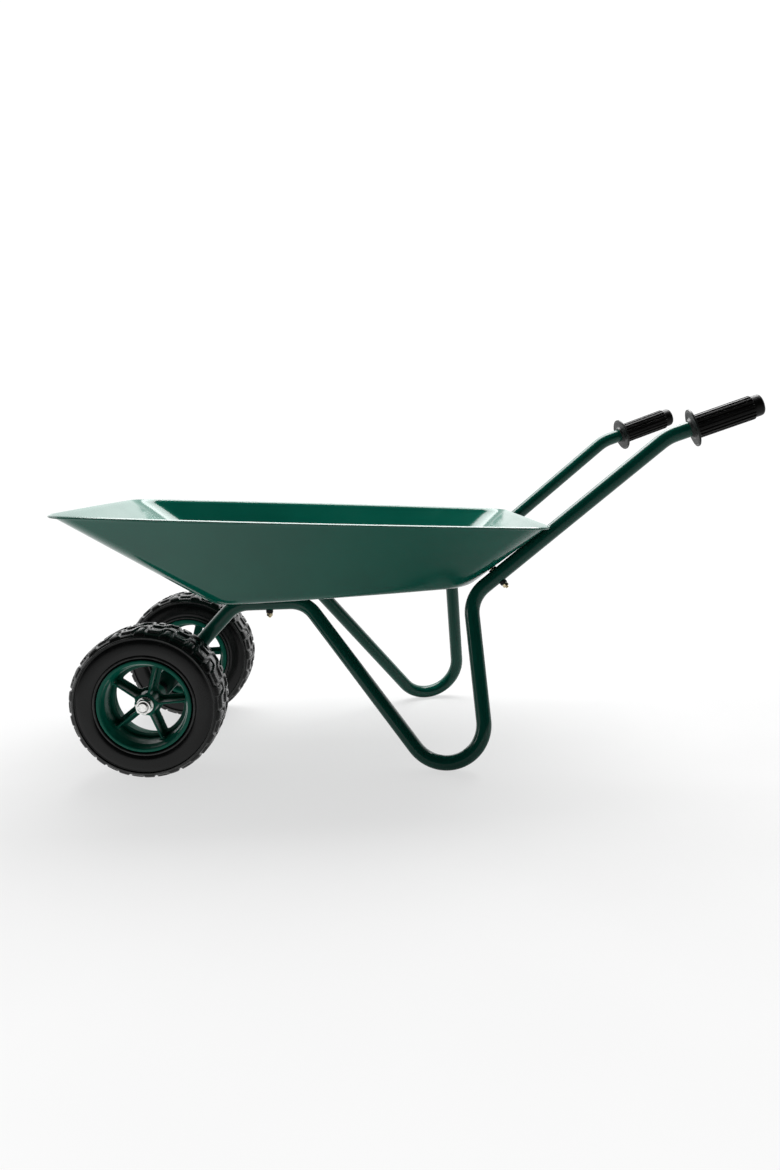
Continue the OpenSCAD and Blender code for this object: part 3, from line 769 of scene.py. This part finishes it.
# ---- grips and guards ------------------------------------------------------------------------------
def grip_part():
    """The ribbed grip along +Z from the guard, with a plain rounded end."""
    core = GRIP_R - RIB_DEPTH
    start, tip = 2.1, 3 + GRIP_LEN
    end = start + GRIP_LEN - 15                     # where the ribs run out
    n = GRIP_RIBS * 16
    a = np.arange(n) * TAU / n
    wave = np.abs(((a * GRIP_RIBS / TAU) % 1.0) * 2 - 1)
    rib = smooth((wave - 0.24) / 0.36)
    # (height, radius, how far the ribs stand out) of each row
    rows = [(start, AXLE_R, 0), (start, core - 1.0, 0), (2.4, core - 0.2, 0.6), (3.2, core, 0.92),
            (4.4, core, 1.0)]
    rows += [(z, core, 1.0) for z in np.linspace(10, end - 6, 12)]
    rows += [(end - 2.4, core, 1.0), (end - 1.2, core, 0.95), (end - 0.4, core, 0.7),
             (end - 0.05, core, 0.25), (end + 0.05, core, 0.0)]
    rows += [(z, core, 0.0) for z in (end + 0.8, end + 4, tip - 6)]
    rows += [(tip - 6 + 6 * math.sin(t), core - 6 + 6 * math.cos(t), 0.0)
             for t in np.linspace(0.12, math.pi / 2, 9)]
    rows += [(tip, core - 9, 0), (tip - 0.5, core - 9.8, 0), (tip - 0.6, core - 13, 0), (tip - 0.6, 0, 0)]
    pts = []
    for z, r, k in rows:
        rad = r + RIB_DEPTH * k * rib
        pts.append(np.stack([rad * np.cos(a), rad * np.sin(a), np.full(n, z)], -1))
    return grid(np.stack(pts, 1), True, False)


guard_part = lathe(fillet([(TUBE_R + 0.05, -6), (TUBE_R + 2, -6), (TUBE_R + 4.2, -1.5),
                           (GUARD_R - 4, -1.5), (GUARD_R - 3, -1.1), (GUARD_R - 2, -1.5),
                           (GUARD_R, -1.5), (GUARD_R, 2), (TUBE_R + 0.05, 2)],
                          [0.3, 0.8, 2.5, 0.6, 0.6, 0.5, 1.6, 1.6, 0], 6), 128)
for side_name, right in SIDES:
    add_piece("hand_grip_" + side_name, [sided(along(grip_part(), GUARD_POS, GRIP_DIR), right)],
              GRIP, "root", ["grip_" + side_name], 42)
    add_piece("guard_disc_" + side_name, [sided(along(guard_part, GUARD_POS, GRIP_DIR), right)],
              GUARD, "root", ["hand_guard_" + side_name], 35)

# ---- tray bolts ------------------------------------------------------------------------------------
# each part is drawn along +Z, with Z = 0 on top of the tube
FLOOR_Z = lerp(BASE_Z[0], BASE_Z[1], (FRONT_BOLT_X - BASE_X[0]) / (BASE_X[1] - BASE_X[0]))
FRONT_GAP = FLOOR_Z + SHEET - RUN_Z - TUBE_R        # from the tube to the top of the sheet


def front_seat(part):
    return place(part, np.eye(3), (FRONT_BOLT_X, -RUN_Y, RUN_Z + TUBE_R))


def rear_seat(part):
    """On the handle tube, square to the tray's sloping corner."""
    x = HANDLE_DIR
    z = np.array([-x[2], 0, x[0]])
    z = unit(z - x * (z @ x))
    y = np.cross(z, x)
    lean = math.radians(REAR_BOLT_LEAN)
    z, y = z * math.cos(lean) + y * math.sin(lean), y * math.cos(lean) - z * math.sin(lean)
    return place(part, np.stack([x, y, z], 1), PATH[4] + HANDLE_DIR * REAR_BOLT_UP + z * TUBE_R)


def coach_bolt(z):
    """A bolt with a domed head whose underside is at z, and a thread below the collar."""
    head = fillet([(0, z), (7.5, z), (7.4, z + 0.8), (6.2, z + 1.9), (3.9, z + 2.9), (0, z + 3.3)],
                  [0, 0.3, 0.6, 2, 2, 0], 4, False)
    shank = lathe([(0, z), (BOLT_R, z), (BOLT_R, -TUBE_D - 3), (0, -TUBE_D - 3)], 32, False)
    tail, faces = thread(BOLT_R, TUBE_D + 2.5, TUBE_D + 13.5, 1.0, 0.55, 32)
    return [lathe(head, 64, False), shank, (tail * [1, -1, -1], faces)]


def collar():
    """A round collar under the tube, cut to the tube's own curve where it touches it."""
    n = 64
    a = np.arange(n) * TAU / n
    bottom = -TUBE_D - 5.0

    def saddle(r):
        return -TUBE_R - np.sqrt((TUBE_R + 0.08) ** 2 - (r * np.sin(a)) ** 2)

    rows = [(3.2, bottom), (5.5, bottom), (5.95, bottom + 0.2), (6.2, bottom + 0.7), (6.2, saddle(6.2) - 0.3),
            (6.0, saddle(6.0)), (3.2, saddle(3.2))]
    pts = [np.stack([r * np.cos(a), r * np.sin(a), np.broadcast_to(z, (n,))], -1) for r, z in rows]
    return grid(np.stack(pts, 1), True, True)


def pad(r, h):
    return lathe(fillet([(3.3, 0), (r, 0), (r, h), (3.3, h)], 0.45, 4), 64)


SEATS = (front_seat, rear_seat)
small_nut = hexagon(9.99, 5.2, BOLT_R + 0.02, -TUBE_D - 10.4, 72)
pads = ((front_seat, 8, FRONT_GAP - SHEET - 0.35), (rear_seat, 7, REAR_GAP - 0.1))
add_piece("coach_bolts_front", [sided(front_seat(p), s) for s in BOTH for p in coach_bolt(FRONT_GAP + 0.3)],
          YELLOW_ZINC, "root", ["tray_bolts_front"], 30)
add_piece("coach_bolts_rear", [sided(rear_seat(p), s) for s in BOTH for p in coach_bolt(REAR_GAP + 2.05)],
          YELLOW_ZINC, "root", ["tray_bolts_rear"], 30)
add_piece("rubber_pads", [sided(seat(pad(r, h)), s) for s in BOTH for seat, r, h in pads],
          BLACK, "root", ["tray_spacers"], 30)
add_piece("saddle_collars", [sided(seat(collar()), s) for s in BOTH for seat in SEATS],
          BLACK, "root", ["bolt_collars"], 35)
add_piece("bolt_hex_nuts", [sided(seat(small_nut), s) for s in BOTH for seat in SEATS],
          YELLOW_ZINC, "root", ["bolt_nuts"], 24)

# ---- CAD pieces that stay: better finish only ------------------------------------------------------
for node, material in (("axle_sleeve", TUBE_PAINT), ("axle_spacer_left", BLACK), ("axle_spacer_right", BLACK),
                       ("hub_bush_inner_left", BLACK), ("hub_bush_outer_left", BLACK),
                       ("hub_bush_inner_right", BLACK), ("hub_bush_outer_right", BLACK)):
    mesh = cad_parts[node].data
    mesh.materials.clear()
    mesh.materials.append(material)

# ---- floor, light and camera ---------------------------------------------------------------------
WHITE = 1.05                            # brightness of the background that the camera sees
floor_mesh = bpy.data.meshes.new("floor")
floor_mesh.from_pydata([(-30, -30, 0), (30, -30, 0), (30, 30, 0), (-30, 30, 0)], [], [(0, 1, 2, 3)])
floor = bpy.data.objects.new("floor", floor_mesh)
bpy.context.scene.collection.objects.link(floor)
paper = Material("pale_floor")
floor_mesh.materials.append(paper.finish(
    paper.mix(paper.ramp(paper.noise(3.0, 3.0, 0.5), 0.3, 0.7), (0.46, 0.46, 0.46), (0.49, 0.49, 0.49)),
    paper.ramp(paper.noise(8.0, 3.0, 0.5), 0.3, 0.7, 0.7, 0.8), IOR=1.2, Specular_IOR_Level=0.1))
# the floor also glows: to the camera more and more with the distance from the object, up to the white
# background, so that no horizon shows, and to reflections most at the wheels' end and away from the camera
away = paper.node("VectorMath", operation="LENGTH")
paper.link(paper.coord, away.inputs[0])
fade = paper.ramp(away.outputs["Value"], 0.4, 1.9, 0.62, 1.0)
ground = paper.axes(paper.coord)
lit = paper.math("MULTIPLY", paper.ramp(ground["X"], -0.6, 0.25, 0.85, 0.08),
                 paper.ramp(ground["Y"], -1.2, -0.6, 0.25, 1.0))
seen = paper.node("LightPath").outputs["Is Camera Ray"]
paper.blend(paper.math("ADD", paper.math("MULTIPLY", seen, fade),
                       paper.math("MULTIPLY", paper.math("SUBTRACT", 1.0, seen), lit)),
            paper.shader.outputs["BSDF"], paper.node("Emission", {"Strength": WHITE}).outputs["Emission"])

# the studio's light comes from behind the object, from dark at the camera to bright at the back
world = bpy.data.worlds.new("studio")
bpy.context.scene.world = world
studio = Nodes(world, "OutputWorld")
direction = studio.axes(studio.node("TexCoord").outputs["Generated"])
light = studio.node("Background")
studio.link(studio.ramp(direction["Y"], -0.25, 0.70, 0.03, 2.3), light.inputs["Strength"])
white = studio.node("Background", {"Strength": WHITE, "Color": (1, 1, 1, 1)})
studio.blend(studio.node("LightPath").outputs["Is Camera Ray"],
             light.outputs["Background"], white.outputs["Background"])


def area_light(name, location, target, size, size_y, watts):
    light = bpy.data.lights.new(name, "AREA")
    light.shape = "RECTANGLE"
    light.size, light.size_y, light.energy = size, size_y, watts
    obj = bpy.data.objects.new(name, light)
    obj.location = location
    obj.visible_camera = False
    obj.rotation_mode = "QUATERNION"
    obj.rotation_quaternion = (Vector(target) - Vector(location)).to_track_quat("-Z", "Y")
    bpy.context.scene.collection.objects.link(obj)


area_light("softbox_top", (0.05, 0.85, 2.0), (0.0, 0.1, 0.3), 2.3, 1.2, watts=84)
area_light("softbox_left", (-2.4, -0.25, 0.6), (-0.2, 0, 0.35), 0.9, 1.0, watts=9)

# the camera as solved from the photograph: metres, and radians left to right, down and about its axis
CAMERA_AT = (-0.06405, -1.57233, 0.51898)
YAW, PITCH, ROLL = 0.0214, 0.1492, -0.0287
LENS, SENSOR = 26.10, 36.0              # millimetres
cam_data = bpy.data.cameras.new("camera")
cam = bpy.data.objects.new("camera", cam_data)
bpy.context.scene.collection.objects.link(cam)
forward = Vector((math.sin(YAW) * math.cos(PITCH), math.cos(YAW) * math.cos(PITCH), -math.sin(PITCH)))
flat_right = Vector((math.cos(YAW), -math.sin(YAW), 0))
flat_up = flat_right.cross(forward)
cam_right = math.cos(ROLL) * flat_right + math.sin(ROLL) * flat_up
cam_up = -math.sin(ROLL) * flat_right + math.cos(ROLL) * flat_up
rotation = Matrix((cam_right, cam_up, -forward)).transposed()
cam.matrix_world = Matrix.Translation(CAMERA_AT) @ rotation.to_4x4()
cam_data.sensor_fit = "AUTO"
cam_data.sensor_width = SENSOR
cam_data.lens = LENS
cam_data.clip_start, cam_data.clip_end = 0.05, 100
bpy.context.scene.camera = cam
bpy.context.scene.view_settings.view_transform = "Standard"
bpy.context.scene.view_settings.look = "None"

bpy.context.view_layer.update()
